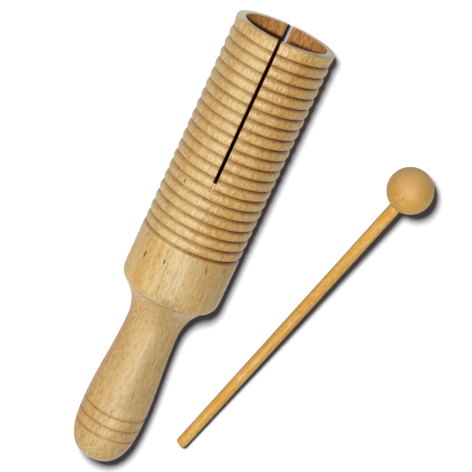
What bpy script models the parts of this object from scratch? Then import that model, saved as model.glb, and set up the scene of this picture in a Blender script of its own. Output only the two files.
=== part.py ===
"""A hand-held wooden rasp and its beater, lying side by side on a table.

The rasp is a bored barrel with turned grooves to scrape and a sawn slot through
both walls to let it ring, closed at its lower end by the plug of a turned handle.
The beater is a dowel glued into a wooden ball. Sizes are in metres, +Z is up and
+Y points from the handle to the open mouth of the barrel.
"""

import math

import bpy
from mathutils import Vector

# Barrel: a tube turned from a 50 mm blank and bored right through.
BARREL_LENGTH = 0.1405
BARREL_RADIUS = 0.0250
WALL_THICKNESS = 0.0045
RIM_ROUND = 0.0010
BORE_CHAMFER = 0.0004
SHOULDER_LENGTH = 0.0065

# Scraping grooves, counted from the mouth, with a crowned ridge between each two.
GROOVE_COUNT = 20
GROOVE_FIRST = 0.00615
GROOVE_PITCH = 0.00545
GROOVE_WIDTH = 0.0013
GROOVE_DEPTH = 0.0006
RIDGE_CROWN = 0.0004

# Sound slot: one upright saw cut through the near and the far wall, open at the mouth,
# a little to the left of the middle.
SLOT_LENGTH = 0.0735
SLOT_KERF = 0.00175
SLOT_OFFSET = 0.0008

# Handle: a plug in the bore, a collar, a hollow cove, a swelling grip and a knob.
PLUG_LENGTH = 0.0250
PLUG_CHAMFER = 0.0015
COLLAR_LAND = 0.0010
COVE_RADIUS = 0.0250
NECK_RADIUS = 0.01335
GRIP_LENGTH = 0.0483
SWELL_RADIUS = 0.0162
KNOB_LENGTH = 0.0274
KNOB_FULLNESS = 2.8

# Three fine rings turned round the knob, placed from its end.
RING_COUNT = 3
RING_FROM_END = 0.01705
RING_PITCH = 0.0061
RING_WIDTH = 0.0010
RING_DEPTH = 0.0004

# Beater: overall length from the top of the ball to the tail of the stick.
BEATER_LENGTH = 0.1902
BALL_RADIUS = 0.0115
SOCKET_DEPTH = 0.0140
STICK_HEAD_RADIUS = 0.00305
STICK_TAIL_RADIUS = 0.00285
STICK_CHAMFER = 0.0006
TAIL_ROUND = 0.0013

# Where the ball lies beside the barrel, and how far the stick turns from it.
BALL_BEHIND_MOUTH = 0.0465
BALL_BESIDE_AXIS = 0.0849
BEATER_HEADING = math.radians(15.4)

# Space left between two glued pieces, so that their meshes stay apart.
FIT_GAP = 0.0003

# Fineness of the turned shapes.
BARREL_STEPS = 40
HANDLE_STEPS = 40
STICK_STEPS = 20
BALL_STEPS = 28
CURVE_POINTS = 9
MERGE_DISTANCE = 0.00001

# Worked out from the sizes above.
BORE_RADIUS = BARREL_RADIUS - WALL_THICKNESS
PLUG_RADIUS = BORE_RADIUS - FIT_GAP
COVE_RUN = math.sqrt(COVE_RADIUS**2 - (COVE_RADIUS - PLUG_RADIUS + NECK_RADIUS)**2)
NECK_Z = -COLLAR_LAND - COVE_RUN
SWELL_Z = NECK_Z - GRIP_LENGTH
HANDLE_END_Z = SWELL_Z - KNOB_LENGTH
HALF_STEP = math.pi / BARREL_STEPS
FLAT_RADIUS = BARREL_RADIUS * math.cos(HALF_STEP)


def clear_scene():
    """Empty the scene of the objects that a new file starts with."""
    for obj in list(bpy.data.objects):
        bpy.data.objects.remove(obj, do_unlink=True)


def new_collection(name):
    """Make a collection and show it in the scene."""
    collection = bpy.data.collections.new(name)
    bpy.context.scene.collection.children.link(collection)
    return collection


def wood_material(name, color, roughness):
    """Make a plain lacquered-wood colour."""
    material = bpy.data.materials.new(name)
    material.use_nodes = True
    shader = material.node_tree.nodes["Principled BSDF"]
    shader.inputs["Base Color"].default_value = (*color, 1.0)
    shader.inputs["Roughness"].default_value = roughness
    shader.inputs["Metallic"].default_value = 0.0
    return material


def new_empty(name, collection):
    """Make an empty that carries the pieces turned round one axis."""
    empty = bpy.data.objects.new(name, None)
    collection.objects.link(empty)
    return empty


def turned_piece(name, profile, closed, steps, material, parent, collection):
    """Turn a profile of (radius, height) points round the local Z axis."""
    points = [(radius, 0.0, height) for radius, height in profile]
    edges = [(index, index + 1) for index in range(len(points) - 1)]
    if closed:
        edges.append((len(points) - 1, 0))
    mesh = bpy.data.meshes.new(name)
    mesh.from_pydata(points, edges, [])
    mesh.materials.append(material)
    piece = bpy.data.objects.new(name, mesh)
    collection.objects.link(piece)
    piece.parent = parent
    screw = piece.modifiers.new("turn", "SCREW")
    screw.axis = "Z"
    screw.angle = 2 * math.pi
    screw.steps = steps
    screw.render_steps = steps
    screw.use_merge_vertices = True
    screw.merge_threshold = MERGE_DISTANCE
    screw.use_smooth_shade = True
    return piece


def crowned_radius(offset):
    """Radius of a ridge at this distance along the axis from its crest."""
    half_ridge = (GROOVE_PITCH - GROOVE_WIDTH) / 2
    return BARREL_RADIUS - RIDGE_CROWN * (offset / half_ridge)**2


def barrel_profile():
    """Outer side from the mouth down to the seam, then back up the bore."""
    mouth = BARREL_LENGTH
    rim_middle = RIM_ROUND * (1 - math.sqrt(0.5))
    points = [
        (BARREL_RADIUS - RIM_ROUND, mouth),
        (BARREL_RADIUS - rim_middle, mouth - rim_middle),
        (BARREL_RADIUS, mouth - RIM_ROUND),
    ]
    groove_edge = crowned_radius((GROOVE_PITCH - GROOVE_WIDTH) / 2)
    for index in range(GROOVE_COUNT):
        groove = mouth - GROOVE_FIRST - index * GROOVE_PITCH
        if index > 0:
            points.append((BARREL_RADIUS, groove + GROOVE_PITCH / 2))
        points.append((groove_edge, groove + GROOVE_WIDTH / 2))
        points.append((groove_edge - GROOVE_DEPTH, groove))
        last = index == GROOVE_COUNT - 1
        points.append((BARREL_RADIUS if last else groove_edge, groove - GROOVE_WIDTH / 2))
    for step in range(CURVE_POINTS):
        angle = math.pi / 2 * step / (CURVE_POINTS - 1)
        radius = BORE_RADIUS + WALL_THICKNESS * math.cos(angle)
        points.append((radius, SHOULDER_LENGTH * (1 - math.sin(angle))))
    points.append((BORE_RADIUS, mouth - BORE_CHAMFER))
    points.append((BORE_RADIUS + BORE_CHAMFER, mouth))
    return points


def handle_radius(height):
    """Radius of the grip and the knob at a height below the neck."""
    if height > SWELL_Z:
        share = (NECK_Z - height) / GRIP_LENGTH
        return NECK_RADIUS + (SWELL_RADIUS - NECK_RADIUS) * (1 - math.cos(math.pi * share)) / 2
    share = min((SWELL_Z - height) / KNOB_LENGTH, 1.0)
    return SWELL_RADIUS * (1 - share**KNOB_FULLNESS)**(1 / KNOB_FULLNESS)


def handle_profile():
    """From the top of the plug down the cove and the grip to the knob's end."""
    points = [
        (0.0, PLUG_LENGTH),
        (PLUG_RADIUS - PLUG_CHAMFER, PLUG_LENGTH),
        (PLUG_RADIUS, PLUG_LENGTH - PLUG_CHAMFER),
        (PLUG_RADIUS, -COLLAR_LAND),
    ]
    cove_angle = math.asin(COVE_RUN / COVE_RADIUS)
    for step in range(1, CURVE_POINTS):
        angle = cove_angle * (1 - step / (CURVE_POINTS - 1))
        radius = NECK_RADIUS + COVE_RADIUS * (1 - math.cos(angle))
        points.append((radius, NECK_Z + COVE_RADIUS * math.sin(angle)))
    ring_heights = [HANDLE_END_Z + RING_FROM_END + index * RING_PITCH for index in range(RING_COUNT)]
    plain = [NECK_Z - GRIP_LENGTH * step / CURVE_POINTS for step in range(1, CURVE_POINTS + 1)]
    for step in range(1, 2 * CURVE_POINTS):
        angle = math.pi / 2 * step / (2 * CURVE_POINTS)
        plain.append(SWELL_Z - KNOB_LENGTH * math.sin(angle))
    below_neck = []
    for height in plain:
        if all(abs(height - ring) > RING_WIDTH for ring in ring_heights):
            below_neck.append((handle_radius(height), height))
    for ring in ring_heights:
        for height in (ring + RING_WIDTH / 2, ring - RING_WIDTH / 2):
            below_neck.append((handle_radius(height), height))
        below_neck.append((handle_radius(ring) - RING_DEPTH, ring))
    below_neck.sort(key=lambda point: -point[1])
    return points + below_neck + [(0.0, HANDLE_END_Z)]


def ball_profile():
    """From the top of the ball round to its socket and up to the socket's floor."""
    socket_radius = STICK_HEAD_RADIUS + FIT_GAP
    widest_turn = math.pi - math.asin(socket_radius / BALL_RADIUS)
    arcs = 2 * CURVE_POINTS - 4
    points = []
    for step in range(arcs + 1):
        angle = widest_turn * step / arcs
        points.append((BALL_RADIUS * math.sin(angle), BALL_RADIUS * math.cos(angle)))
    floor = SOCKET_DEPTH - BALL_RADIUS
    return points + [(socket_radius, floor), (0.0, floor)]


def stick_profile():
    """From the end inside the ball down to the rounded tail."""
    top = SOCKET_DEPTH - BALL_RADIUS - FIT_GAP
    tail = BALL_RADIUS - BEATER_LENGTH
    points = [
        (0.0, top),
        (STICK_HEAD_RADIUS - STICK_CHAMFER, top),
        (STICK_HEAD_RADIUS, top - STICK_CHAMFER),
        (STICK_TAIL_RADIUS, tail + TAIL_ROUND),
    ]
    for step in (1, 2):
        angle = math.pi / 2 * step / 3
        points.append((STICK_TAIL_RADIUS * math.cos(angle), tail + TAIL_ROUND * (1 - math.sin(angle))))
    return points + [(0.0, tail)]


def saw_slot(barrel, parent, collection):
    """Cut the sound slot through both walls, from the mouth down."""
    overrun = BARREL_RADIUS
    bpy.ops.mesh.primitive_cube_add(size=1.0)
    blade = bpy.context.object
    blade.name = "slot_cutter"
    for old in list(blade.users_collection):
        old.objects.unlink(blade)
    collection.objects.link(blade)
    blade.parent = parent
    blade.scale = (SLOT_KERF, 2 * BARREL_RADIUS + overrun, SLOT_LENGTH + overrun)
    blade.location.x = -SLOT_OFFSET * math.cos(HALF_STEP)
    blade.location.y = -SLOT_OFFSET * math.sin(HALF_STEP)
    blade.location.z = BARREL_LENGTH + (overrun - SLOT_LENGTH) / 2
    blade.rotation_euler.z = HALF_STEP
    blade.hide_render = True
    blade.display_type = "WIRE"
    cut = barrel.modifiers.new("sound_slot", "BOOLEAN")
    cut.operation = "DIFFERENCE"
    cut.solver = "EXACT"
    cut.object = blade


def beater_slope():
    """Angle at which the stick falls from the ball to where its tail rests."""
    reach = BEATER_LENGTH - BALL_RADIUS - TAIL_ROUND
    chord = math.hypot(reach, STICK_TAIL_RADIUS)
    return math.asin(BALL_RADIUS / chord) - math.atan2(STICK_TAIL_RADIUS, reach)


def build():
    """Make the rasp and the beater, centred over the table under them."""
    clear_scene()
    parts = new_collection("wooden_rasp")
    cutters = new_collection("cutters")

    half_width = (FLAT_RADIUS + BALL_BESIDE_AXIS + BALL_RADIUS) / 2
    axis_x = FLAT_RADIUS - half_width
    half_length = (BARREL_LENGTH - HANDLE_END_Z) / 2
    mouth_y = half_length

    rasp_axis = new_empty("rasp_axis", parts)
    rasp_axis.location = (axis_x, mouth_y - BARREL_LENGTH, FLAT_RADIUS)
    rasp_axis.rotation_mode = "XYZ"
    rasp_axis.rotation_euler = (-math.pi / 2, -HALF_STEP, 0.0)

    barrel = turned_piece(
        "barrel", barrel_profile(), True, BARREL_STEPS,
        wood_material("barrel_wood", (0.72, 0.50, 0.26), 0.45), rasp_axis, parts)
    saw_slot(barrel, rasp_axis, cutters)
    turned_piece(
        "handle", handle_profile(), False, HANDLE_STEPS,
        wood_material("handle_wood", (0.70, 0.48, 0.24), 0.45), rasp_axis, parts)

    slope = beater_slope()
    toward_ball = Vector((
        math.sin(BEATER_HEADING) * math.cos(slope),
        math.cos(BEATER_HEADING) * math.cos(slope),
        math.sin(slope)))
    beater_axis = new_empty("beater_axis", parts)
    beater_axis.location = (axis_x + BALL_BESIDE_AXIS, mouth_y - BALL_BEHIND_MOUTH, BALL_RADIUS)
    beater_axis.rotation_mode = "QUATERNION"
    beater_axis.rotation_quaternion = toward_ball.to_track_quat("Z", "Y")

    turned_piece(
        "beater_ball", ball_profile(), False, BALL_STEPS,
        wood_material("ball_wood", (0.66, 0.38, 0.12), 0.40), beater_axis, parts)
    turned_piece(
        "beater_stick", stick_profile(), False, STICK_STEPS,
        wood_material("stick_wood", (0.78, 0.45, 0.13), 0.45), beater_axis, parts)
    bpy.context.view_layer.update()


build()
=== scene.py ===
# %% [markdown]
# # A wooden rasp and its beater
# A wooden rasp is a hollow block on a handle. The player scrapes a stick along its grooves or
# strikes it near the sawn slot, and the bored barrel rings. Everything on it comes off a wood lathe,
# so this lesson models each piece the way a turner does: draw half of the outline, then spin it.
#
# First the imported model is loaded. It is the fixed frame that every new piece has to fit.

# %% Load the frame
import math

import bpy
from mathutils import Matrix, Vector


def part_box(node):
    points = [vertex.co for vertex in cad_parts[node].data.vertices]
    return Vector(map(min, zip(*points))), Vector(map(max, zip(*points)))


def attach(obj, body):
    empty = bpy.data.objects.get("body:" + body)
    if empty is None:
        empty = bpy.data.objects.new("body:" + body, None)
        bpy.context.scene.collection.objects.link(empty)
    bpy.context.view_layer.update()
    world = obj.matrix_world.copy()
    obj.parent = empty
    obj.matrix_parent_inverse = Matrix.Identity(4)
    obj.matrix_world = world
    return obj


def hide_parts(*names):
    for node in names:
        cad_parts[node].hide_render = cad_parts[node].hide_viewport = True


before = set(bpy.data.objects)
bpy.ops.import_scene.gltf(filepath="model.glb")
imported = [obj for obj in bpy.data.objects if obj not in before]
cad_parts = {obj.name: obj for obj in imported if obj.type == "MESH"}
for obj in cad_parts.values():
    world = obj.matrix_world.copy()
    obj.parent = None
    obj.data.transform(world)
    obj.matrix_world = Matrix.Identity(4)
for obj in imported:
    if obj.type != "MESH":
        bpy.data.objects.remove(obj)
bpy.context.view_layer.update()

# %% [markdown]
# ## Where things are
# The barrel and the handle are turned round one line that runs along +Y. The boxes of the CAD nodes
# give that line, the mouth and the seam between barrel and handle. The beater lies beside them, so
# its own line is found from the ball's centre, its heading and the small slope of the stick.

# %% Read the places from the frame
barrel_low, barrel_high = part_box("barrel")
handle_low, handle_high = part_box("handle")
AXIS_X = (barrel_low.x + barrel_high.x) / 2
AXIS_Z = (barrel_low.z + barrel_high.z) / 2
CREST_RADIUS = (barrel_high.z - barrel_low.z) / 2
MOUTH_Y = barrel_high.y
SEAM_Y = barrel_low.y
BARREL_LENGTH = MOUTH_Y - SEAM_Y
HANDLE_END = handle_low.y - SEAM_Y

BALL_RADIUS = 0.01147
BALL_CENTRE = Vector((AXIS_X + 0.0849, MOUTH_Y - 0.0465, 0.0115))
BEATER_HEADING = math.radians(15.4)
BEATER_LENGTH = 0.1902
STICK_TAIL_RADIUS = 0.00285
TAIL_ROUND = 0.0013

print("axis at x, z in mm:", round(1000 * AXIS_X, 2), round(1000 * AXIS_Z, 2))
print("barrel length in mm:", round(1000 * BARREL_LENGTH, 2))

# %% [markdown]
# ## Camera
# The photograph looks down at the pair from a little beyond the mouth, with the camera rolled so
# that the rasp leans to the left. The pieces show almost no perspective, so the lens is long.

# %% Make the camera
CAMERA_LENS_MM = 160.17
CAMERA_TILT = math.radians(-16.91)
CAMERA_ROLL = math.radians(25.03)
CAMERA_PLACE = Vector((AXIS_X + 0.01850, MOUTH_Y + 0.19313, AXIS_Z + 0.96342))

camera_data = bpy.data.cameras.new("camera")
camera_data.sensor_width = 36.0
camera_data.lens = CAMERA_LENS_MM
camera_data.clip_start = 0.05
camera = bpy.data.objects.new("camera", camera_data)
bpy.context.scene.collection.objects.link(camera)
turn = Matrix.Rotation(CAMERA_TILT, 4, "X") @ Matrix.Rotation(CAMERA_ROLL, 4, "Z")
camera.matrix_world = Matrix.Translation(CAMERA_PLACE) @ turn
bpy.context.scene.camera = camera
print("camera height in m:", round(camera.location.z, 3))

# %% [markdown]
# ## Helpers for node trees
# Materials are built from small nodes. These helpers add one node each and give back its result, so
# that the materials further on read almost like sums.

# %% Node helpers
def add_node(tree, kind, **values):
    """Add a node and set its inputs by name, with _ in place of each space."""
    node = tree.nodes.new(kind)
    for key, value in values.items():
        node.inputs[key.replace("_", " ")].default_value = value
    return node


def value_math(tree, operation, first, second=None):
    """The result of a Math node on numbers or sockets."""
    node = tree.nodes.new("ShaderNodeMath")
    node.operation = operation
    for entry, value in zip(node.inputs, (first, second)):
        if isinstance(value, (int, float)):
            entry.default_value = value
        elif value is not None:
            tree.links.new(value, entry)
    return node.outputs[0]


def times(tree, first, *others):
    """The product of several numbers or sockets."""
    for other in others:
        first = value_math(tree, "MULTIPLY", first, other)
    return first


def ramp(tree, source, low, high):
    """Map a value from low..high to 0..1, easing in and out."""
    node = tree.nodes.new("ShaderNodeMapRange")
    node.interpolation_type = "SMOOTHSTEP"
    node.inputs["From Min"].default_value = low
    node.inputs["From Max"].default_value = high
    tree.links.new(source, node.inputs["Value"])
    return node.outputs["Result"]


def tint(tree, share, first, second, mode="MIX"):
    """A colour between two, each a tuple or a socket."""
    node = tree.nodes.new("ShaderNodeMix")
    node.data_type = "RGBA"
    node.blend_type = mode
    for entry, value in zip((node.inputs[0], node.inputs[6], node.inputs[7]), (share, first, second)):
        if isinstance(value, (int, float)):
            entry.default_value = value
        elif isinstance(value, tuple):
            entry.default_value = (*value, 1.0)
        else:
            tree.links.new(value, entry)
    return node.outputs[2]


def axes_of(tree, point):
    """The X, Y and Z of a point."""
    parts = tree.nodes.new("ShaderNodeSeparateXYZ")
    tree.links.new(point, parts.inputs[0])
    return parts.outputs["X"], parts.outputs["Y"], parts.outputs["Z"]


print("node helpers are ready")

# %% [markdown]
# ## Floor and light
# The pieces lie on plain white paper, under plain studio light. Two lamps near the camera, one on
# the mouth's side and one on the handle's side, light the round shapes and shine a little way into
# the bore and through the slot. A wide lamp on the left softens them. A white world fills the rest.
# All together they add up to about 1, so a colour renders about as it is written.
#
# In the photograph every shadow is moved by the same small step to the lower right, whether it lies
# under the mouth, the knob or the thin beater. A small lamp beside the camera, as high as the camera,
# does just that. The step grows with the height of the piece, so the low beater gets a sheet and a
# lamp of its own, further away. Light linking keeps each lamp to its own sheet. Three more lamps stand
# for the soft boxes that the lacquer mirrors, so they light nothing else.

# %% Make the floor, the world and the lamps
SHEET_SIZE = 3.0
SHEET_EDGE = AXIS_X + 0.0318
FILL_STRENGTH = 0.10
LAMPS = {
    "mouth_lamp": (Vector((-0.060, 0.155, 1.0)), 1.15, math.radians(1.5), "pieces"),
    "handle_lamp": (Vector((-0.024, -0.120, 1.0)), 1.15, math.radians(1.5), "pieces"),
    "side_lamp": (Vector((-0.300, 0.000, 1.0)), 0.72, math.radians(40.0), "pieces"),
    "paper_fill": (Vector((0.0, 0.0, 1.0)), 0.10, math.radians(150.0), "papers"),
    "low_mirror": (Vector((0.150, -0.140, 1.0)), 0.70, math.radians(26.0), "lacquer"),
    "side_mirror": (Vector((0.286, -0.333, 1.0)), 0.38, math.radians(16.0), "lacquer"),
    "high_mirror": (Vector((-0.080, 0.240, 1.0)), 0.50, math.radians(26.0), "lacquer"),
}
PAPER_LAMPS = {
    "rasp_paper": (Vector((-0.131, 0.076, 0.0)), 0.074),
    "beater_paper": (Vector((-0.290, 0.140, 0.0)), 0.135),
}
PAPER_LAMP_POWER = 93.0
PAPER_SEEN = (0.420, 0.420, 0.430)
PAPER_MIRRORED = (0.460, 0.445, 0.395)
PAPER_BOUNCE = (0.185, 0.185, 0.185)
PAPER_PAINTED_SHADE = (0.160, 0.050, 0.004)
PAINTED_CUT_SHADOW_EDGE = (0.075, 0.075, 0.105)
PAINTED_CUT_SHADOW_CORE = (0.012, 0.011, 0.012)


def paper_material():
    """Matt white paper, a little cream in the lacquer, with painted shade where it is seen through the barrel and a
    painted shadow in the far cut.
    """
    material = bpy.data.materials.new("white_paper")
    material.use_nodes = True
    tree = material.node_tree
    tree.nodes.clear()
    sight = tree.nodes.new("ShaderNodeLightPath")
    tone = tint(tree, sight.outputs["Is Glossy Ray"], PAPER_BOUNCE, PAPER_MIRRORED)
    tone = tint(tree, sight.outputs["Is Camera Ray"], tone, PAPER_SEEN)
    coordinates = tree.nodes.new("ShaderNodeTexCoord")
    place_x, place_y, place_z = axes_of(tree, coordinates.outputs["Object"])
    # Painted shade: where the paper shows through both slots, under the barrel, it is painted dark brown.
    beside = value_math(tree, "ABSOLUTE", value_math(tree, "SUBTRACT", place_x, AXIS_X))
    painted_shade_under = times(tree, ramp(tree, beside, 0.006, 0.004),
                  ramp(tree, place_y, MOUTH_Y - 0.0092, MOUTH_Y - 0.0104),
                  ramp(tree, place_y, MOUTH_Y - 0.1000, MOUTH_Y - 0.0950))
    # Painted shadow: near the mouth, the paper seen through the far cut is painted blue-grey, and near black towards
    # its left side.
    beside_cut = times(tree, ramp(tree, place_x, AXIS_X - 0.0040, AXIS_X - 0.0030),
                       ramp(tree, place_y, MOUTH_Y - 0.0002, MOUTH_Y - 0.0012),
                       ramp(tree, place_y, MOUTH_Y - 0.0140, MOUTH_Y - 0.0130))
    painted_cut_shadow_edge = times(tree, beside_cut, ramp(tree, place_x, AXIS_X + 0.0010, AXIS_X + 0.0002))
    painted_cut_shadow_core = times(tree, beside_cut, ramp(tree, place_x, AXIS_X - 0.0000, AXIS_X - 0.0006))
    tone = tint(tree, times(tree, painted_cut_shadow_edge, 0.80), tone, PAINTED_CUT_SHADOW_EDGE)
    tone = tint(tree, painted_cut_shadow_core, tone, PAINTED_CUT_SHADOW_CORE)
    tone = tint(tree, painted_shade_under, tone, PAPER_PAINTED_SHADE)
    matt = tree.nodes.new("ShaderNodeBsdfDiffuse")
    tree.links.new(tone, matt.inputs["Color"])
    out = tree.nodes.new("ShaderNodeOutputMaterial")
    tree.links.new(matt.outputs[0], out.inputs["Surface"])
    return material


def lay_paper(name, side, material):
    """A square sheet that starts at the edge between rasp and beater, on one side of it."""
    bpy.ops.object.select_all(action="DESELECT")
    middle = (SHEET_EDGE + side * SHEET_SIZE / 2, 0.0, 0.0)
    bpy.ops.mesh.primitive_plane_add(size=SHEET_SIZE, location=middle)
    sheet = bpy.context.object
    bpy.ops.object.transform_apply(location=True, rotation=True, scale=True)
    sheet.name = name
    sheet.data.materials.append(material)
    return sheet


def make_world():
    """An even white fill from all round, seen as white by the camera."""
    world = bpy.data.worlds.new("studio")
    bpy.context.scene.world = world
    world.use_nodes = True
    tree = world.node_tree
    tree.nodes.clear()
    sight = tree.nodes.new("ShaderNodeLightPath")
    fill = add_node(tree, "ShaderNodeBackground", Color=(1.0, 1.0, 1.0, 1.0), Strength=FILL_STRENGTH)
    white = add_node(tree, "ShaderNodeBackground", Color=(1.0, 1.0, 1.0, 1.0), Strength=1.0)
    pick = tree.nodes.new("ShaderNodeMixShader")
    out = tree.nodes.new("ShaderNodeOutputWorld")
    tree.links.new(sight.outputs["Is Camera Ray"], pick.inputs["Fac"])
    tree.links.new(fill.outputs[0], pick.inputs[1])
    tree.links.new(white.outputs[0], pick.inputs[2])
    tree.links.new(pick.outputs[0], out.inputs["Surface"])


def hang_lamp(name, kind, lit, unlit):
    """A lamp in the scene that lights some objects, or all objects but some."""
    lamp = bpy.data.lights.new(name, kind)
    holder = bpy.data.objects.new(name, lamp)
    bpy.context.scene.collection.objects.link(holder)
    receivers = bpy.data.collections.new(name + "_lights")
    holder.light_linking.receiver_collection = receivers
    for item in (*lit, *unlit):
        receivers.objects.link(item)
    if unlit:
        for entry in receivers.collection_objects:
            entry.light_linking.link_state = "EXCLUDE"
    return lamp, holder


def make_sun(name, direction, strength, spread, target, sheets):
    """A sun: parallel light that shines from this direction, on the papers or on the pieces."""
    if target == "papers":
        lamp, holder = hang_lamp(name, "SUN", sheets, ())
        lamp.color = (0.10, 0.45, 1.0)
    else:
        lamp, holder = hang_lamp(name, "SUN", (), sheets)
    lamp.energy = strength
    lamp.angle = spread
    holder.rotation_euler = direction.to_track_quat("Z", "Y").to_euler()
    holder.location = direction.normalized()
    holder.visible_diffuse = target != "lacquer"
    holder.visible_glossy = target == "lacquer"


def make_paper_lamp(name, step, size, sheet):
    """A lamp this far beside the camera, whose light on its sheet is even."""
    lamp, holder = hang_lamp(name, "POINT", (sheet,), ())
    holder.location = CAMERA_PLACE + step
    holder.visible_camera = False
    lamp.energy = PAPER_LAMP_POWER
    lamp.shadow_soft_size = size
    lamp.use_nodes = True
    tree = lamp.node_tree
    unfading = add_node(tree, "ShaderNodeLightFalloff", Strength=1.0)
    ray = tree.nodes.new("ShaderNodeNewGeometry")
    steepness = value_math(tree, "ABSOLUTE", axes_of(tree, ray.outputs["Incoming"])[2])
    even = value_math(tree, "DIVIDE", unfading.outputs["Constant"], steepness)
    tree.links.new(even, tree.nodes["Emission"].inputs["Strength"])
    return holder


white_paper = paper_material()
paper_sheets = {
    "rasp_paper": lay_paper("rasp_paper", -1, white_paper),
    "beater_paper": lay_paper("beater_paper", 1, white_paper),
}
make_world()
for lamp_name, (direction, strength, spread, target) in LAMPS.items():
    make_sun(lamp_name, direction, strength, spread, target, tuple(paper_sheets.values()))
for paper_name, (step, size) in PAPER_LAMPS.items():
    paper_lamp = make_paper_lamp(paper_name + "_lamp", step, size, paper_sheets[paper_name])
beater_pieces = bpy.data.collections.new("beater_pieces")
paper_lamp.light_linking.blocker_collection = beater_pieces
bpy.context.scene.view_settings.view_transform = "Standard"
print("paper, world and lamps are in place")

# %% [markdown]
# ## The lathe
# On a lathe the blank spins and the tool follows an outline. Here it is the other way round: a single
# vertex is extruded from point to point along the outline, and the finished line is spun once round
# the axis. A plane merged at its centre gives that first vertex. Points that meet on the axis, and
# the seam where the spin closes, are merged afterwards, and the normals are turned outwards.

# %% Helpers that draw and spin an outline
MERGE_DISTANCE = 0.000002
SHARP_ANGLE = math.radians(50.0)


def turn_piece(name, outline, closed, steps):
    """Draw (radius, height) points in the XZ plane and spin them round Z."""
    bpy.ops.object.select_all(action="DESELECT")
    bpy.ops.mesh.primitive_plane_add(size=0.01, location=(0.0, 0.0, 0.0))
    piece = bpy.context.object
    piece.name = name
    piece.data.name = name
    bpy.ops.object.mode_set(mode="EDIT")
    bpy.ops.mesh.select_mode(type="VERT")
    bpy.ops.mesh.select_all(action="SELECT")
    bpy.ops.mesh.merge(type="CENTER")
    radius, height = outline[0]
    bpy.ops.transform.translate(value=(radius, 0.0, height))
    for next_radius, next_height in outline[1:]:
        step = (next_radius - radius, 0.0, next_height - height)
        bpy.ops.mesh.extrude_vertices_move(TRANSFORM_OT_translate={"value": step})
        radius, height = next_radius, next_height
    if closed:
        step = (outline[0][0] - radius, 0.0, outline[0][1] - height)
        bpy.ops.mesh.extrude_vertices_move(TRANSFORM_OT_translate={"value": step})
        bpy.ops.mesh.select_all(action="SELECT")
        bpy.ops.mesh.remove_doubles(threshold=MERGE_DISTANCE)
    bpy.ops.mesh.select_all(action="SELECT")
    bpy.ops.mesh.spin(steps=steps, angle=2 * math.pi, center=(0.0, 0.0, 0.0), axis=(0.0, 0.0, 1.0))
    bpy.ops.mesh.select_all(action="SELECT")
    bpy.ops.mesh.remove_doubles(threshold=MERGE_DISTANCE)
    bpy.ops.mesh.normals_make_consistent(inside=False)
    bpy.ops.object.mode_set(mode="OBJECT")
    return piece


def lay_down(piece, place):
    """Move a turned piece to its place, and put that place into its mesh."""
    bpy.ops.object.select_all(action="DESELECT")
    piece.select_set(True)
    bpy.context.view_layer.objects.active = piece
    piece.matrix_world = place
    bpy.ops.object.transform_apply(location=True, rotation=True, scale=True)
    bpy.ops.object.shade_smooth_by_angle(angle=SHARP_ANGLE)
    print(piece.name, "has", len(piece.data.polygons), "faces")


def arc(centre, radius_across, radius_along, start, end, points):
    """Points on a part of an ellipse, without its first point."""
    found = []
    for index in range(1, points + 1):
        angle = start + (end - start) * index / points
        found.append((
            centre[0] + radius_across * math.cos(angle),
            centre[1] + radius_along * math.sin(angle)))
    return found


RASP_PLACE = Matrix.Translation((AXIS_X, SEAM_Y, AXIS_Z)) @ Matrix.Rotation(-math.pi / 2, 4, "X")
print("the lathe's Z axis becomes the rasp's +Y axis")

# %% [markdown]
# ## Barrel
# The barrel is a tube. Its outline goes round the rim, down over twenty grooves with a gently rounded
# ridge between each two, along a plain band, round the shoulder, and back up through the bore.

# %% Barrel outline
WALL = 0.0045
BORE_RADIUS = CREST_RADIUS - WALL + 0.0001
RIM_ROUND = 0.0010
BORE_ROUND = 0.0004
SHOULDER_LENGTH = 0.0065
GROOVE_COUNT = 20
GROOVE_FIRST = 0.00615
GROOVE_PITCH = 0.00545
GROOVE_WIDTH = 0.0013
GROOVE_DEPTH = 0.0006
RIDGE_CROWN = 0.0005
BARREL_STEPS = 144


def barrel_radius(from_mouth):
    """Outer radius of the grooved part at this distance from the mouth."""
    count = (from_mouth - GROOVE_FIRST) / GROOVE_PITCH
    nearest = min(max(round(count), 0), GROOVE_COUNT - 1)
    offset = from_mouth - GROOVE_FIRST - nearest * GROOVE_PITCH
    past_last = nearest == GROOVE_COUNT - 1 and offset > 0
    half_ridge = (GROOVE_PITCH - GROOVE_WIDTH) / 2
    from_crest = max(GROOVE_PITCH / 2 - abs(offset), 0.0) if abs(offset) < GROOVE_PITCH / 2 else 0.0
    crown = RIDGE_CROWN * (from_crest / half_ridge)**2
    if past_last:
        crown = RIDGE_CROWN * max(1 - abs(offset) / GROOVE_WIDTH, 0.0)
    notch = 0.0
    if abs(offset) < GROOVE_WIDTH / 2:
        notch = GROOVE_DEPTH * (1 - (2 * offset / GROOVE_WIDTH)**2)
    return CREST_RADIUS - min(crown, RIDGE_CROWN) - notch


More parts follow.
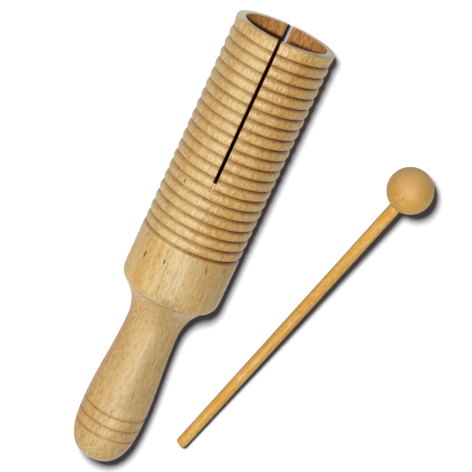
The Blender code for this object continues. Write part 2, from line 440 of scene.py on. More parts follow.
def barrel_outline():
    """The closed outline of the tube wall, from the rim round to the bore's mouth."""
    mouth = BARREL_LENGTH
    points = [(CREST_RADIUS - RIM_ROUND, mouth)]
    points += arc((CREST_RADIUS - RIM_ROUND, mouth - RIM_ROUND), RIM_ROUND, RIM_ROUND,
                  math.pi / 2, 0.0, 5)
    shares = (-0.5, -0.4, -0.25, -0.12, 0.0, 0.12, 0.25, 0.4, 0.5)
    for index in range(GROOVE_COUNT):
        groove = GROOVE_FIRST + index * GROOVE_PITCH
        if index > 0:
            for share in (-0.62, -0.5, -0.38, -0.26):
                distance = groove + share * GROOVE_PITCH
                points.append((barrel_radius(distance), mouth - distance))
        for share in shares:
            distance = groove + share * GROOVE_WIDTH
            points.append((barrel_radius(distance), mouth - distance))
    last = GROOVE_FIRST + (GROOVE_COUNT - 1) * GROOVE_PITCH
    points.append((CREST_RADIUS, mouth - last - GROOVE_WIDTH))
    points.append((CREST_RADIUS, SHOULDER_LENGTH))
    points += arc((BORE_RADIUS, SHOULDER_LENGTH), CREST_RADIUS - BORE_RADIUS, -SHOULDER_LENGTH,
                  0.0, math.pi / 2, 14)
    points.append((BORE_RADIUS, mouth - BORE_ROUND))
    points += arc((BORE_RADIUS + BORE_ROUND, mouth - BORE_ROUND), BORE_ROUND, BORE_ROUND,
                  math.pi, math.pi / 2, 3)
    return points


barrel = turn_piece("barrel_shell", barrel_outline(), True, BARREL_STEPS)

# %% [markdown]
# ## Sound slot
# A saw opens the barrel from the mouth through both walls, which lets the wall ring. The blade is a
# thin upright box, a little to the left of the middle, and a boolean takes it out of the tube. Where
# it came out on the far side it tore the edge, so there a second, wider box follows the first.

# %% Saw the slot
SLOT_LENGTH = 0.0735
SLOT_KERF = 0.00175
SLOT_OFFSET = 0.0008
TORN_KERF = 0.00255


def saw_slot(piece, kerf, height, rise):
    """Take a blade out of the tube from the mouth down, with its left face where the slot's is."""
    overrun = CREST_RADIUS
    middle = -SLOT_OFFSET - SLOT_KERF / 2 + kerf / 2
    bpy.ops.object.select_all(action="DESELECT")
    bpy.ops.mesh.primitive_cube_add(
        size=1.0,
        scale=(kerf, height, SLOT_LENGTH + overrun),
        location=(middle, rise, BARREL_LENGTH + (overrun - SLOT_LENGTH) / 2))
    blade = bpy.context.object
    bpy.ops.object.transform_apply(location=True, rotation=True, scale=True)
    bpy.ops.object.select_all(action="DESELECT")
    piece.select_set(True)
    bpy.context.view_layer.objects.active = piece
    cut = piece.modifiers.new("sound_slot", "BOOLEAN")
    cut.operation = "DIFFERENCE"
    cut.solver = "EXACT"
    cut.object = blade
    bpy.ops.object.modifier_apply(modifier=cut.name)
    bpy.data.objects.remove(blade, do_unlink=True)


saw_slot(barrel, SLOT_KERF, 4 * CREST_RADIUS, 0.0)
saw_slot(barrel, TORN_KERF, 2 * CREST_RADIUS, CREST_RADIUS)
lay_down(barrel, RASP_PLACE)

# %% [markdown]
# ## Handle
# The handle is one turning: a plug that fills the lower end of the bore, a thin collar that hides its
# edge, a cove that hollows down to the neck, a swelling grip and a round knob with three fine rings.

# %% Handle outline
SEAM_GAP = 0.00006
PLUG_LENGTH = 0.0250
PLUG_RADIUS = BORE_RADIUS - 0.0003
COLLAR_LAND = 0.0010
COLLAR_RADIUS = BORE_RADIUS + 0.0003
COVE_RADIUS = 0.0250
NECK_RADIUS = 0.01335
GRIP_LENGTH = 0.0483
SWELL_RADIUS = 0.01615
KNOB_FULLNESS = 2.8
RING_COUNT = 3
RING_FROM_END = 0.01705
RING_PITCH = 0.0061
RING_WIDTH = 0.0013
RING_DEPTH = 0.0005
HANDLE_STEPS = 128
COVE_RUN = math.sqrt(COVE_RADIUS**2 - (COVE_RADIUS - PLUG_RADIUS + NECK_RADIUS)**2)
NECK_AT = -COLLAR_LAND - COVE_RUN
SWELL_AT = NECK_AT - GRIP_LENGTH
KNOB_LENGTH = SWELL_AT - HANDLE_END


def handle_radius(height):
    """Radius of the grip and the knob at this height below the neck, rings left out."""
    if height > SWELL_AT:
        share = (NECK_AT - height) / GRIP_LENGTH
        return NECK_RADIUS + (SWELL_RADIUS - NECK_RADIUS) * (1 - math.cos(math.pi * share)) / 2
    share = min((SWELL_AT - height) / KNOB_LENGTH, 1.0)
    return SWELL_RADIUS * (1 - share**KNOB_FULLNESS)**(1 / KNOB_FULLNESS)


def handle_outline():
    """From the middle of the plug's top down to the knob's end."""
    points = [
        (0.0, PLUG_LENGTH),
        (PLUG_RADIUS - 0.0015, PLUG_LENGTH),
        (PLUG_RADIUS, PLUG_LENGTH - 0.0015),
        (PLUG_RADIUS, -SEAM_GAP),
        (COLLAR_RADIUS, -SEAM_GAP),
        (COLLAR_RADIUS - 0.0001, -COLLAR_LAND / 2),
        (PLUG_RADIUS, -COLLAR_LAND),
    ]
    cove_angle = math.asin(COVE_RUN / COVE_RADIUS)
    for step in range(1, 21):
        angle = cove_angle * (1 - step / 20)
        radius = NECK_RADIUS + COVE_RADIUS * (1 - math.cos(angle))
        points.append((radius, NECK_AT + COVE_RADIUS * math.sin(angle)))
    rings = [HANDLE_END + RING_FROM_END + index * RING_PITCH for index in range(RING_COUNT)]
    heights = [NECK_AT - GRIP_LENGTH * step / 36 for step in range(1, 37)]
    heights += [SWELL_AT - KNOB_LENGTH * math.sin(math.pi / 2 * step / 40) for step in range(1, 40)]
    heights = [height for height in heights if all(abs(height - ring) > RING_WIDTH for ring in rings)]
    shape = [(handle_radius(height), height) for height in heights]
    for ring in rings:
        for share in (-0.5, -0.3, -0.15, 0.0, 0.15, 0.3, 0.5):
            height = ring + share * RING_WIDTH
            depth = RING_DEPTH * (1 - (2 * share)**2)
            shape.append((handle_radius(height) - depth, height))
    shape.sort(key=lambda point: -point[1])
    return points + shape + [(0.0, HANDLE_END)]


handle = turn_piece("handle_turning", handle_outline(), False, HANDLE_STEPS)
lay_down(handle, RASP_PLACE)

# %% [markdown]
# ## Beater
# The beater is a ball with a blind hole, glued on a thin dowel. The stick lies on the floor at its
# tail and is held up by the ball at its head, so it slopes by about three degrees.

# %% Beater outlines
SOCKET_DEPTH = 0.0140
STICK_HEAD_RADIUS = 0.00305
STICK_GAP = 0.00012
BALL_STEPS = 96
STICK_STEPS = 48


def beater_place():
    """The lathe's Z axis laid along the stick, from its tail to the ball's centre."""
    reach = BEATER_LENGTH - BALL_CENTRE.z - TAIL_ROUND
    chord = math.hypot(reach, STICK_TAIL_RADIUS)
    slope = math.asin(BALL_CENTRE.z / chord) - math.atan2(STICK_TAIL_RADIUS, reach)
    along = Vector((
        math.sin(BEATER_HEADING) * math.cos(slope),
        math.cos(BEATER_HEADING) * math.cos(slope),
        math.sin(slope)))
    return Matrix.Translation(BALL_CENTRE) @ along.to_track_quat("Z", "Y").to_matrix().to_4x4()


def ball_outline():
    """From the top of the ball round to its hole, and up to the hole's floor."""
    hole = STICK_HEAD_RADIUS + STICK_GAP
    lip = 0.0004
    widest = math.pi - math.asin((hole + lip) / BALL_RADIUS)
    points = []
    for step in range(49):
        angle = widest * step / 48
        points.append((BALL_RADIUS * math.sin(angle), BALL_RADIUS * math.cos(angle)))
    lip_height = points[-1][1]
    points.append((hole, lip_height + lip))
    floor = SOCKET_DEPTH - BALL_RADIUS
    return points + [(hole, floor), (0.0, floor)]


def stick_outline():
    """From the end inside the ball down to the rounded tail."""
    top = SOCKET_DEPTH - BALL_RADIUS - 0.0003
    tail = BALL_CENTRE.z - BEATER_LENGTH
    points = [(0.0, top), (STICK_HEAD_RADIUS - 0.0006, top), (STICK_HEAD_RADIUS, top - 0.0006)]
    stretch = top - 0.0006 - tail - TAIL_ROUND
    for step in range(1, 41):
        share = step / 40
        radius = STICK_HEAD_RADIUS + (STICK_TAIL_RADIUS - STICK_HEAD_RADIUS) * share
        points.append((radius, top - 0.0006 - stretch * share))
    for step in range(1, 6):
        angle = math.pi / 2 * step / 6
        points.append((
            STICK_TAIL_RADIUS - TAIL_ROUND * (1 - math.cos(angle)),
            tail + TAIL_ROUND * (1 - math.sin(angle))))
    return points + [(STICK_TAIL_RADIUS - TAIL_ROUND, tail), (0.0, tail)]


BEATER_PLACE = beater_place()
ball = turn_piece("ball_turning", ball_outline(), False, BALL_STEPS)
lay_down(ball, BEATER_PLACE)
stick = turn_piece("stick_dowel", stick_outline(), False, STICK_STEPS)
lay_down(stick, BEATER_PLACE)
for piece in (ball, stick):
    beater_pieces.objects.link(piece)

# %% [markdown]
# ## Wood
# The rasp is turned from rubberwood: pale and straight-grained, with short dark pores, warmer streaks
# and a thin satin lacquer. The wood is a solid pattern, noise that is stretched along the grain and
# runs right through the piece. So the sides show lines, and the cut ends show dots, as real wood does.
# A Mapping node turns the object's coordinates back to the lathe's, where Z runs along the grain.

# %% Node helpers for wood
def fibre_noise(tree, point, across, along, detail=2.0, distortion=0.0, seed=0.0):
    """Noise whose cells are this wide across the grain and this long along it."""
    stretch = tree.nodes.new("ShaderNodeMapping")
    stretch.inputs["Scale"].default_value = (1 / across, 1 / across, 1 / along)
    stretch.inputs["Location"].default_value = (seed, 2 * seed, 3 * seed)
    tree.links.new(point, stretch.inputs["Vector"])
    node = add_node(tree, "ShaderNodeTexNoise", Scale=1.0, Detail=detail, Distortion=distortion)
    tree.links.new(stretch.outputs["Vector"], node.inputs["Vector"])
    return node.outputs["Fac"]


def lathe_point(tree, place):
    """Object coordinates turned back to the lathe, where Z runs along the grain."""
    coordinates = tree.nodes.new("ShaderNodeTexCoord")
    node = tree.nodes.new("ShaderNodeMapping")
    node.vector_type = "TEXTURE"
    node.inputs["Location"].default_value = place.to_translation()
    node.inputs["Rotation"].default_value = place.to_euler()
    tree.links.new(coordinates.outputs["Object"], node.inputs["Vector"])
    return node.outputs["Vector"]


def spot(tree, point, centre, size):
    """1 in the middle of an oval spot, fading to 0 at its edge."""
    offset = tree.nodes.new("ShaderNodeVectorMath")
    offset.operation = "SUBTRACT"
    offset.inputs[1].default_value = centre
    tree.links.new(point, offset.inputs[0])
    shrink = tree.nodes.new("ShaderNodeVectorMath")
    shrink.operation = "DIVIDE"
    shrink.inputs[1].default_value = size
    tree.links.new(offset.outputs["Vector"], shrink.inputs[0])
    length = tree.nodes.new("ShaderNodeVectorMath")
    length.operation = "LENGTH"
    tree.links.new(shrink.outputs["Vector"], length.inputs[0])
    return ramp(tree, length.outputs["Value"], 1.0, 0.45)


def new_wood(name):
    """A lacquered-wood material, its node tree and its shader."""
    material = bpy.data.materials.new(name)
    material.use_nodes = True
    tree = material.node_tree
    return material, tree, tree.nodes["Principled BSDF"]


print("wood helpers are ready")

# %% [markdown]
# Four tones make the wood: a pale ground, a deeper gold, warm streaks and dark pores. The clouds are
# as wide as a finger, the bands and fibres much narrower, and the pores are short fine strokes that
# come in drifts. Faint pink and olive blotches keep the colour from looking even. Wood that the tool
# has torn, as between the grooves, is livelier than wood that was sanded smooth, so a last value says
# how lively the fine marks are. The pores also dent the surface a little, and dark marks are open
# wood, which shines less.

# %% Grain shared by all pieces
BLUSH = (0.76, 0.50, 0.30)
OLIVE = (0.64, 0.54, 0.25)
PALE_LINE = (0.88, 0.69, 0.39)
DAPPLE_DARK = (0.80, 0.66, 0.50)


def grain(tree, point, tones, seed, lively):
    """The wood's colour, its height for the bump, and wide patches for the gloss."""
    ground, gold, streak, pore = tones
    clouds = fibre_noise(tree, point, 0.0110, 0.0700, 2.0, 0.3, seed)
    bands = fibre_noise(tree, point, 0.0028, 0.0600, 3.0, 0.4, seed + 1.3)
    fibres = fibre_noise(tree, point, 0.00085, 0.0220, 2.0, 0.2, seed + 2.1)
    flecks = fibre_noise(tree, point, 0.00060, 0.0028, 1.0, 0.0, seed + 3.7)
    hairs = fibre_noise(tree, point, 0.00042, 0.0038, 1.0, 0.0, seed + 4.9)
    patches = fibre_noise(tree, point, 0.0070, 0.0200, 2.0, 0.0, seed + 5.3)
    blotches = fibre_noise(tree, point, 0.0040, 0.0100, 1.0, 0.0, seed + 6.1)
    dapples = fibre_noise(tree, point, 0.0010, 0.0026, 1.0, 0.0, seed + 8.3)
    color = tint(tree, ramp(tree, clouds, 0.34, 0.66), ground, gold)
    color = tint(tree, times(tree, ramp(tree, blotches, 0.50, 0.68), 0.25), color, BLUSH)
    color = tint(tree, times(tree, ramp(tree, blotches, 0.48, 0.32), 0.25), color, OLIVE)
    color = tint(tree, times(tree, ramp(tree, bands, 0.50, 0.76), 0.60), color, streak)
    color = tint(tree, times(tree, ramp(tree, fibres, 0.50, 0.68), 0.42), color, streak)
    color = tint(tree, times(tree, ramp(tree, fibres, 0.48, 0.34), 0.35), color, PALE_LINE)
    color = tint(tree, times(tree, ramp(tree, dapples, 0.53, 0.68), 0.60, lively), color, DAPPLE_DARK, "MULTIPLY")
    color = tint(tree, times(tree, ramp(tree, dapples, 0.47, 0.34), 0.50, lively), color, PALE_LINE)
    fleck = times(tree, ramp(tree, flecks, 0.63, 0.70), ramp(tree, patches, 0.44, 0.62))
    hair = times(tree, ramp(tree, hairs, 0.60, 0.70), lively)
    color = tint(tree, times(tree, hair, 0.62), color, pore)
    color = tint(tree, times(tree, fleck, 0.62), color, pore)
    height = value_math(tree, "SUBTRACT", times(tree, fibres, 0.6), value_math(tree, "ADD", fleck, hair))
    return color, height, patches


def finish_wood(tree, shader, color, height, gloss, matt, lacquer):
    """Connect the colour, a bump of the height, a patchy roughness, and lacquer on the pale wood."""
    tree.links.new(color, shader.inputs["Base Color"])
    shine = times(tree, ramp(tree, color, 0.03, 0.30), lacquer)
    tree.links.new(shine, shader.inputs["Specular IOR Level"])
    bump = add_node(tree, "ShaderNodeBump", Strength=0.28, Distance=0.00010)
    tree.links.new(height, bump.inputs["Height"])
    tree.links.new(bump.outputs["Normal"], shader.inputs["Normal"])
    rough = tree.nodes.new("ShaderNodeMapRange")
    rough.inputs["To Min"].default_value = matt - 0.05
    rough.inputs["To Max"].default_value = matt + 0.05
    tree.links.new(gloss, rough.inputs["Value"])
    tree.links.new(rough.outputs["Result"], shader.inputs["Roughness"])


# %% [markdown]
# ## Barrel and handle
# Both come from the same kind of board. Its left side is warmer, almost orange on the handle, and its
# right side is more olive and darker, partly as painted shade. On the barrel, each groove was burnished
# brown by the tool, a dark line in a soft brown band; the band is partly painted shade, and painted
# shade makes both stronger on the right side. Painted light sits a little left of the middle of the
# grooves, a painted sheen down the middle of the plain band and painted shade to its right. The rim is
# end grain with a painted highlight on its far side and painted shade on its near side and its right.
# The bore was left rougher and browner and has no lacquer; a painted shadow of the rim darkens it, and
# the slot's walls are painted dark as shade. On the grip, painted shade lies beside the highlight, and
# the middle is evened out, partly as wear and partly as painted shade. A few knots and scratches have
# their own places.

# %% Wood of the rasp
RASP_TONES = ((0.80, 0.585, 0.26), (0.73, 0.49, 0.18), (0.58, 0.34, 0.11), (0.26, 0.085, 0.012))
BARREL_LEFT = (1.00, 0.93, 0.78)
BARREL_RIGHT_OLIVE_AND_SHADE = (0.96, 0.905, 0.79)
GROOVED_RIGHT = (1.00, 0.93, 0.80)
GROOVED_PAINTED_LIGHT = (1.00, 0.80, 0.42)
BAND_RIGHT_PAINTED_SHADE = (0.90, 0.91, 0.93)
HANDLE_TONE = (0.92, 0.91, 0.92)
HANDLE_LEFT = (0.99, 0.80, 0.52)
HANDLE_RIGHT_OLIVE_AND_SHADE = (0.90, 0.84, 0.74)
KNOB_TONE = (0.965, 0.965, 0.92)
KNOT = (0.11, 0.036, 0.006)
LINE_BROWN = (0.36, 0.15, 0.030)
BURNISH = (0.25, 0.090, 0.010)
BURNISH_DARK_PAINTED_SHADE = (0.150, 0.050, 0.006)
BAND_MIDDLE_PAINTED_SHEEN = (0.93, 0.97, 1.00)
EMBER_LINE = (0.50, 0.19, 0.05)
RING_BURN = (0.32, 0.11, 0.018)
RING_EMBER = (0.50, 0.15, 0.020)
EMBER = (0.72, 0.40, 0.12)
COLLAR = (0.74, 0.57, 0.36)
GRIP_WEAR_AND_SHADE = (0.69, 0.49, 0.225)
GRIP_PAINTED_SHADE = (0.88, 0.87, 0.85)
BORE_TONE = (0.98, 0.50, 0.17)
BORE_STREAK = (0.60, 0.25, 0.06)
RIM_FAR_PAINTED_LIGHT = (1.00, 0.93, 0.80)
RIM_NEAR_PAINTED_SHADE = (0.78, 0.52, 0.22)
RIM_RIGHT_PAINTED_SHADE = (0.62, 0.54, 0.46)
CHIP = (0.86, 0.78, 0.66)
BORE_PAINTED_SHADE_DEEP = (0.400, 0.080, 0.004)
BORE_PAINTED_SHADE_MOUTH = (0.300, 0.110, 0.015)
SLOT_PAINTED_SHADE_DEEP = (0.300, 0.060, 0.003)
SLOT_PAINTED_SHADE_MOUTH = (0.450, 0.170, 0.025)
STROKES = ((-0.0147, 0.0011), (0.0128, 0.0022), (0.0166, 0.0016))
KNOTS = (
    (-0.0069, 0.1190, 0.0005, 0.0017, 0.92),
    (-0.0170, 0.1213, 0.0007, 0.0024, 0.75),
    (-0.0140, 0.0797, 0.0005, 0.0016, 0.80),
    (-0.0073, 0.1140, 0.0003, 0.0024, 0.50),
    (-0.0196, 0.1125, 0.0009, 0.0018, 0.30),
    (0.0124, 0.1140, 0.0004, 0.0012, 0.70),
    (0.0130, 0.1158, 0.0005, 0.0016, 0.70),
    (0.0209, 0.1140, 0.0008, 0.0026, 0.45),
)


def rasp_grain(tree, point, seed, lively, left_tone, right_tone_and_shade):
    """The shared grain with a tone of its own on the left side, and on the right an olive tone with painted shade."""
    color, height, patches = grain(tree, point, RASP_TONES, seed, lively)
    across, upward, along = axes_of(tree, point)
    color = tint(tree, ramp(tree, across, -0.002, -0.018), color, left_tone, "MULTIPLY")
    # The right side is more olive and also darker, as painted shade.
    color = tint(tree, ramp(tree, across, -0.003, 0.018), color, right_tone_and_shade, "MULTIPLY")
    return color, height, patches, across, upward, along


def barrel_material():
    """Rubberwood with burnished grooves and a brown bore, with painted light and shade on its sides, grooves, rim, bore
    and slot.
    """
    material, tree, shader = new_wood("barrel_wood")
    point = lathe_point(tree, RASP_PLACE)
    band_end = 0.1405 - 0.1100
    torn_wood = value_math(tree, "ADD", times(tree, ramp(
        tree, axes_of(tree, point)[2], band_end - 0.001, band_end + 0.001), 0.38), 0.62)
    color, height, patches, across, upward, along = rasp_grain(
        tree, point, 0.0, torn_wood, BARREL_LEFT, BARREL_RIGHT_OLIVE_AND_SHADE)
    from_mouth = value_math(tree, "SUBTRACT", BARREL_LENGTH, along)
    scratches = fibre_noise(tree, point, 0.00050, 0.0150, 1.0, 0.0, 9.1)
    scratched = times(tree, ramp(tree, along, band_end - 0.0200, band_end - 0.0030), ramp(tree, scratches, 0.56, 0.70))
    color = tint(tree, times(tree, scratched, 0.50), color, EMBER_LINE)
    stroke_noise = fibre_noise(tree, point, 0.00055, 0.0036, 1.0, 0.0, 4.4)
    stroked = ramp(tree, from_mouth, 0.0650, 0.0500)
    for middle, width in STROKES:
        apart = value_math(tree, "ABSOLUTE", value_math(tree, "SUBTRACT", across, middle))
        stroke = times(tree, ramp(tree, apart, width, width / 3), ramp(tree, stroke_noise, 0.50, 0.60), stroked)
        color = tint(tree, times(tree, stroke, 0.60), color, EMBER_LINE)
    count = value_math(tree, "DIVIDE", value_math(tree, "SUBTRACT", from_mouth, GROOVE_FIRST), GROOVE_PITCH)
    offset = value_math(tree, "SUBTRACT", count, value_math(tree, "ROUND", count))
    radius = value_math(tree, "SQRT", value_math(
        tree, "ADD", times(tree, across, across), times(tree, upward, upward)))
    outside = ramp(tree, radius, CREST_RADIUS - 0.0025, CREST_RADIUS - 0.0015)
    grooved = times(tree, outside, ramp(tree, count, -0.6, -0.4),
                    ramp(tree, count, GROOVE_COUNT - 0.55, GROOVE_COUNT - 0.65))
    wander = fibre_noise(tree, point, 0.0050, 0.0050, 2.0)
    # Each groove has a burnt line from the tool. The soft band round it is partly burnish and partly painted shade, and
    # painted shade makes both stronger and darker on the right side.
    line = times(tree, ramp(tree, offset, -0.11, -0.02), ramp(tree, offset, 0.09, 0.0))
    shade = times(tree, ramp(tree, offset, -0.30, -0.02), ramp(tree, offset, 0.34, 0.0))
    right = ramp(tree, across, 0.0, 0.016)
    left = ramp(tree, across, 0.0, -0.016)
    painted_shade_by_side = value_math(tree, "ADD", value_math(tree, "SUBTRACT", times(tree, right, 0.66), times(tree, left, 0.14)), 0.46)
    uneven = value_math(tree, "ADD", painted_shade_by_side, wander)
    burn = value_math(tree, "MAXIMUM", times(tree, line, 0.92, uneven), times(tree, shade, 0.44, uneven))
    color = tint(tree, times(tree, grooved, right), color, GROOVED_RIGHT, "MULTIPLY")
    # Painted light: the grooved part is lightened a little left of the middle.
    painted_light_side = times(tree, ramp(tree, across, 0.0, -0.004), ramp(tree, across, -0.018, -0.013))
    color = tint(tree, times(tree, grooved, painted_light_side, 0.25), color, GROOVED_PAINTED_LIGHT)
    # Painted shade: the plain band is darkened right of the middle.
    band_right_painted_shade = times(tree, ramp(tree, along, band_end + 0.0005, band_end - 0.0005), ramp(tree, across, -0.003, 0.003))
    color = tint(tree, band_right_painted_shade, color, BAND_RIGHT_PAINTED_SHADE, "MULTIPLY")
    plain = ramp(tree, along, band_end + 0.0005, band_end - 0.0005)
    # Painted sheen: down the middle of the plain band, where the highlight lies, the colour is made less red.
    middle_band_painted_sheen = times(tree, plain, ramp(tree, value_math(tree, "ABSOLUTE", across), 0.0100, 0.0030))
    color = tint(tree, middle_band_painted_sheen, color, BAND_MIDDLE_PAINTED_SHEEN, "MULTIPLY")
    lines = fibre_noise(tree, point, 0.00050, 0.0090, 1.0, 0.0, 15.7)
    lined = times(tree, plain, ramp(tree, lines, 0.54, 0.64), ramp(tree, across, 0.004, 0.012), 0.34)
    color = tint(tree, lined, color, LINE_BROWN)
    burn_tone = tint(tree, ramp(tree, across, 0.0110, 0.0190), BURNISH, BURNISH_DARK_PAINTED_SHADE)
    color = tint(tree, times(tree, burn, grooved), color, burn_tone)
    for aside, distance, width, length, share in KNOTS:
        rise = -math.sqrt(CREST_RADIUS**2 - aside**2)
        knot = spot(tree, point, (aside, rise, BARREL_LENGTH - distance), (width, 0.003, length))
        color = tint(tree, times(tree, knot, share), color, KNOT)
    ember = spot(tree, point, (-0.0155, -0.0195, BARREL_LENGTH - 0.1330), (0.0065, 0.006, 0.0075))
    color = tint(tree, times(tree, ember, 0.45), color, EMBER)
    top = -CREST_RADIUS
    scribed = spot(tree, point, (-0.00150, top, 0.1405 - 0.0757), (0.00022, 0.003, 0.0027))
    color = tint(tree, times(tree, scribed, 0.80), color, KNOT)
    chipped = spot(tree, point, (-0.00075, top, 0.1405 - 0.0766), (0.00045, 0.003, 0.0016))
    color = tint(tree, times(tree, chipped, 0.75), color, CHIP)
    torn = fibre_noise(tree, point, 0.0009, 0.0009, 1.0, 0.0, 3.1)
    seam = times(tree, ramp(tree, along, 0.0010, 0.0002), ramp(tree, torn, 0.40, 0.58))
    color = tint(tree, times(tree, seam, 0.55), color, BURNISH)
    # Painted light and shade on the rim: pale on its far side, darker on its near side and on its right.
    rim_painted_light_and_shade = tint(tree, ramp(tree, upward, -0.008, -0.018), RIM_FAR_PAINTED_LIGHT, RIM_NEAR_PAINTED_SHADE)
    rim_painted_light_and_shade = tint(tree, ramp(tree, across, 0.010, 0.020), rim_painted_light_and_shade, RIM_RIGHT_PAINTED_SHADE, "MULTIPLY")
    color = tint(tree, times(tree, ramp(tree, from_mouth, 0.0007, 0.0002), 0.9), color, rim_painted_light_and_shade)
    streaks = fibre_noise(tree, point, 0.0011, 0.0050, 3.0, 0.9, 7.7)
    bore_color = tint(tree, ramp(tree, streaks, 0.35, 0.65), BORE_TONE, BORE_STREAK)
    # Painted shadow of the near rim: past a slanted edge below it, the bore is painted a dark red-brown.
    chord = value_math(tree, "SQRT", value_math(tree, "MAXIMUM", value_math(
        tree, "SUBTRACT", BORE_RADIUS**2, times(tree, across, across)), 0.0))
    below_rim = value_math(tree, "ADD", upward, chord)
    reach = value_math(tree, "ADD", times(tree, ramp(tree, across, -0.003, 0.004), 0.030), 0.157)
    beyond = value_math(tree, "SUBTRACT", from_mouth, times(tree, below_rim, reach))
    bore_painted_shade = tint(tree, ramp(tree, from_mouth, 0.0300, 0.0060), BORE_PAINTED_SHADE_DEEP, BORE_PAINTED_SHADE_MOUTH)
    bore_color = tint(tree, times(tree, ramp(tree, beyond, 0.0, 0.0010), 0.95), bore_color, bore_painted_shade)
    bore = ramp(tree, radius, BORE_RADIUS + 0.0003, BORE_RADIUS + 0.0001)
    color = tint(tree, bore, color, bore_color)
    # Painted shade: the slot's walls are painted a dark red-brown, darker further from the mouth.
    beside = value_math(tree, "ABSOLUTE", value_math(tree, "ADD", across, SLOT_OFFSET))
    kerf = times(tree, ramp(tree, beside, SLOT_KERF / 2 + 0.00012, SLOT_KERF / 2 + 0.00002),
                 ramp(tree, from_mouth, SLOT_LENGTH + 0.0002, SLOT_LENGTH + 0.00005))
    slot_painted_shade = tint(tree, ramp(tree, from_mouth, 0.0200, 0.0020), SLOT_PAINTED_SHADE_DEEP, SLOT_PAINTED_SHADE_MOUTH)
    color = tint(tree, kerf, color, slot_painted_shade)
    near_rim = times(tree, ramp(tree, upward, -0.008, -0.016), ramp(tree, from_mouth, 0.0007, 0.0002), 0.85)
    bare = value_math(tree, "MAXIMUM", bore, near_rim)
    lacquer = times(tree, value_math(tree, "SUBTRACT", 1.0, bare), 0.5)
    finish_wood(tree, shader, color, height, patches, 0.34, lacquer)
    return material


def handle_material():
    """The same rubberwood, with the knob's three rings rubbed brown, and painted shade on the grip."""
    material, tree, shader = new_wood("handle_wood")
    point = lathe_point(tree, RASP_PLACE)
    color, height, patches, across, upward, along = rasp_grain(
        tree, point, 11.0, 0.80, HANDLE_LEFT, HANDLE_RIGHT_OLIVE_AND_SHADE)
    aside = value_math(tree, "ABSOLUTE", across)
    gripped = ramp(tree, along, HANDLE_END + 0.0270, HANDLE_END + 0.0370)
    # Along the middle of the grip the colour is evened out and darkened: partly wear, partly painted shade under the
    # highlight.
    wear_and_shade = times(tree, ramp(tree, aside, 0.0100, 0.0020), gripped, 0.42)
    color = tint(tree, wear_and_shade, color, GRIP_WEAR_AND_SHADE)
    mottles = fibre_noise(tree, point, 0.0035, 0.0080, 2.0, 0.3, 14.2)
    glow = times(tree, ramp(tree, mottles, 0.46, 0.62), ramp(tree, across, -0.003, -0.010), 0.38)
    color = tint(tree, glow, color, EMBER)
    stipple = fibre_noise(tree, point, 0.00055, 0.0011, 1.0, 0.0, 12.6)
    cut_across = value_math(tree, "MAXIMUM", ramp(tree, along, -0.0240, -0.0100),
                            ramp(tree, along, HANDLE_END + 0.0200, HANDLE_END + 0.0060))
    stippled = times(tree, ramp(tree, stipple, 0.58, 0.66), cut_across, 0.48)
    color = tint(tree, stippled, color, RING_BURN)
    color = tint(tree, 1.0, color, HANDLE_TONE, "MULTIPLY")
    # Painted shade: a band of the grip just right of the highlight is darkened.
    from_grip_painted_shade = value_math(tree, "ABSOLUTE", value_math(tree, "SUBTRACT", across, 0.0052))
    color = tint(tree, times(tree, ramp(tree, from_grip_painted_shade, 0.0060, 0.0020), gripped), color, GRIP_PAINTED_SHADE, "MULTIPLY")
    color = tint(tree, ramp(tree, along, HANDLE_END + 0.0310, HANDLE_END + 0.0160), color, KNOB_TONE, "MULTIPLY")
    from_ring = value_math(tree, "SUBTRACT", along, HANDLE_END + RING_FROM_END)
    count = value_math(tree, "DIVIDE", from_ring, RING_PITCH)
    offset = value_math(tree, "SUBTRACT", count, value_math(tree, "ROUND", count))
    ringed = times(tree, ramp(tree, count, -0.6, -0.4), ramp(tree, count, RING_COUNT - 0.4, RING_COUNT - 0.6))
    line = times(tree, ramp(tree, offset, -0.09, -0.02), ramp(tree, offset, 0.09, 0.02))
    wander = fibre_noise(tree, point, 0.0040, 0.0040, 2.0)
    shade = times(tree, ramp(tree, offset, -0.26, -0.04), ramp(tree, offset, 0.26, 0.04))
    left = ramp(tree, across, 0.0, -0.012)
    uneven = value_math(tree, "ADD", value_math(tree, "ADD", times(tree, left, 0.35), wander), 0.12)
    burn = value_math(tree, "MAXIMUM", times(tree, line, 0.85, uneven), times(tree, shade, 0.24, uneven))
    burn_tone = tint(tree, ramp(tree, across, -0.005, -0.011), RING_BURN, RING_EMBER)
    color = tint(tree, times(tree, burn, ringed), color, burn_tone)
    collar = times(tree, ramp(tree, along, -0.0070, -0.0012), ramp(tree, aside, 0.004, 0.009))
    color = tint(tree, times(tree, collar, 0.55), color, COLLAR)
    torn = fibre_noise(tree, point, 0.0012, 0.0012, 1.0, 0.0, 5.9)
    edge = times(tree, ramp(tree, along, -0.0012, -0.0003), ramp(tree, torn, 0.42, 0.60))
    color = tint(tree, times(tree, edge, 0.60), color, BURNISH)
    finish_wood(tree, shader, color, height, patches, 0.40, 0.5)
    return material


def dress(piece, material):
    """Give a piece its one material."""
    piece.data.materials.clear()
    piece.data.materials.append(material)
    print(piece.name, "is made of", material.name)


dress(barrel, barrel_material())
dress(handle, handle_material())

# %% [markdown]
# ## Stained beater
# The beater is stained a warmer golden yellow than the rasp, the ball a little redder than the stick.
# The ball also has a painted sheen on its top and painted shade on its right side.

# %% Wood of the beater
BALL_TONES = ((0.71, 0.390, 0.088), (0.66, 0.330, 0.060), (0.57, 0.27, 0.045), (0.37, 0.16, 0.035))
STICK_TONES = ((0.75, 0.405, 0.060), (0.69, 0.345, 0.045), (0.61, 0.28, 0.032), (0.40, 0.18, 0.030))
BALL_PAINTED_SHEEN = (0.74, 0.440, 0.165)
BALL_EMBER = (0.46, 0.190, 0.030)
FRECKLED = Vector((-0.60, -0.35, 0.65))
BALL_PAINTED_SHADE = (0.80, 0.78, 0.74)
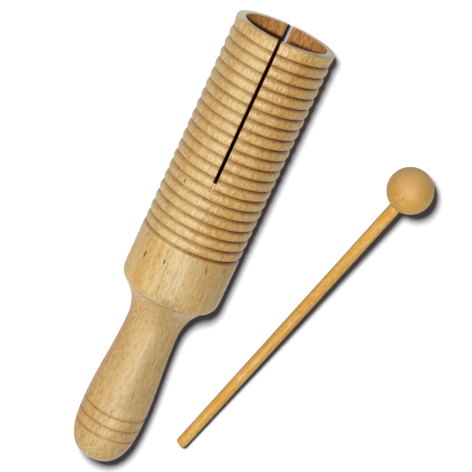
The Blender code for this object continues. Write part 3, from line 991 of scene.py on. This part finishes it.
# Painted sheen on the ball's top and painted shade on its right: direction from the centre, size, share, tone and blend
# of each spot.
BALL_PAINTED_LIGHT_AND_SHADE = (
    (Vector((-0.14, 0.60, 0.78)), 1.00, 0.62, BALL_PAINTED_SHEEN, "MIX"),
    (Vector((0.55, 0.42, 0.70)), 0.60, 0.60, BALL_PAINTED_SHADE, "MULTIPLY"),
)


def beater_material(name, tones, lively, calm, matt):
    """Golden stained wood whose grain follows the stick; the ball gets a painted sheen and painted shade."""
    material, tree, shader = new_wood(name)
    point = lathe_point(tree, BEATER_PLACE)
    color, height, patches = grain(tree, point, tones, 23.0, lively)
    color = tint(tree, calm, color, tones[0])
    to_lathe = BEATER_PLACE.inverted()
    if tones == BALL_TONES:
        # Painted sheen and painted shade laid on the ball as soft spots.
        for middle, size, share, tone, mode in BALL_PAINTED_LIGHT_AND_SHADE:
            centre = to_lathe @ (BALL_CENTRE + BALL_RADIUS * middle)
            painted_spot = spot(tree, point, centre, (size * BALL_RADIUS,) * 3)
            color = tint(tree, times(tree, painted_spot, share), color, tone, mode)
        freckles = fibre_noise(tree, point, 0.0007, 0.0010, 1.0, 0.0, 6.7)
        freckled = spot(tree, point, to_lathe @ (BALL_CENTRE + BALL_RADIUS * FRECKLED), (0.0095,) * 3)
        color = tint(tree, times(tree, ramp(tree, freckles, 0.53, 0.64), freckled, 0.62), color, BALL_EMBER)
    finish_wood(tree, shader, color, height, patches, matt, 0.30)
    return material


dress(ball, beater_material("ball_wood", BALL_TONES, 0.25, 0.60, 0.44))
dress(stick, beater_material("stick_wood", STICK_TONES, 0.65, 0.25, 0.50))

# %% [markdown]
# ## Put the pieces on their bodies
# Each new piece rides on the body that its CAD solid belongs to, and takes that solid's place.

# %% Ride and replace
for piece, node, body, slot in (
        (barrel, "barrel", "rasp", "barrel_wood"),
        (handle, "handle", "rasp", "handle_wood"),
        (ball, "beater_ball", "beater", "ball_wood"),
        (stick, "beater_stick", "beater", "stick_wood")):
    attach(piece, body)
    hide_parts(node)
    print(piece.name, "rides on", body)
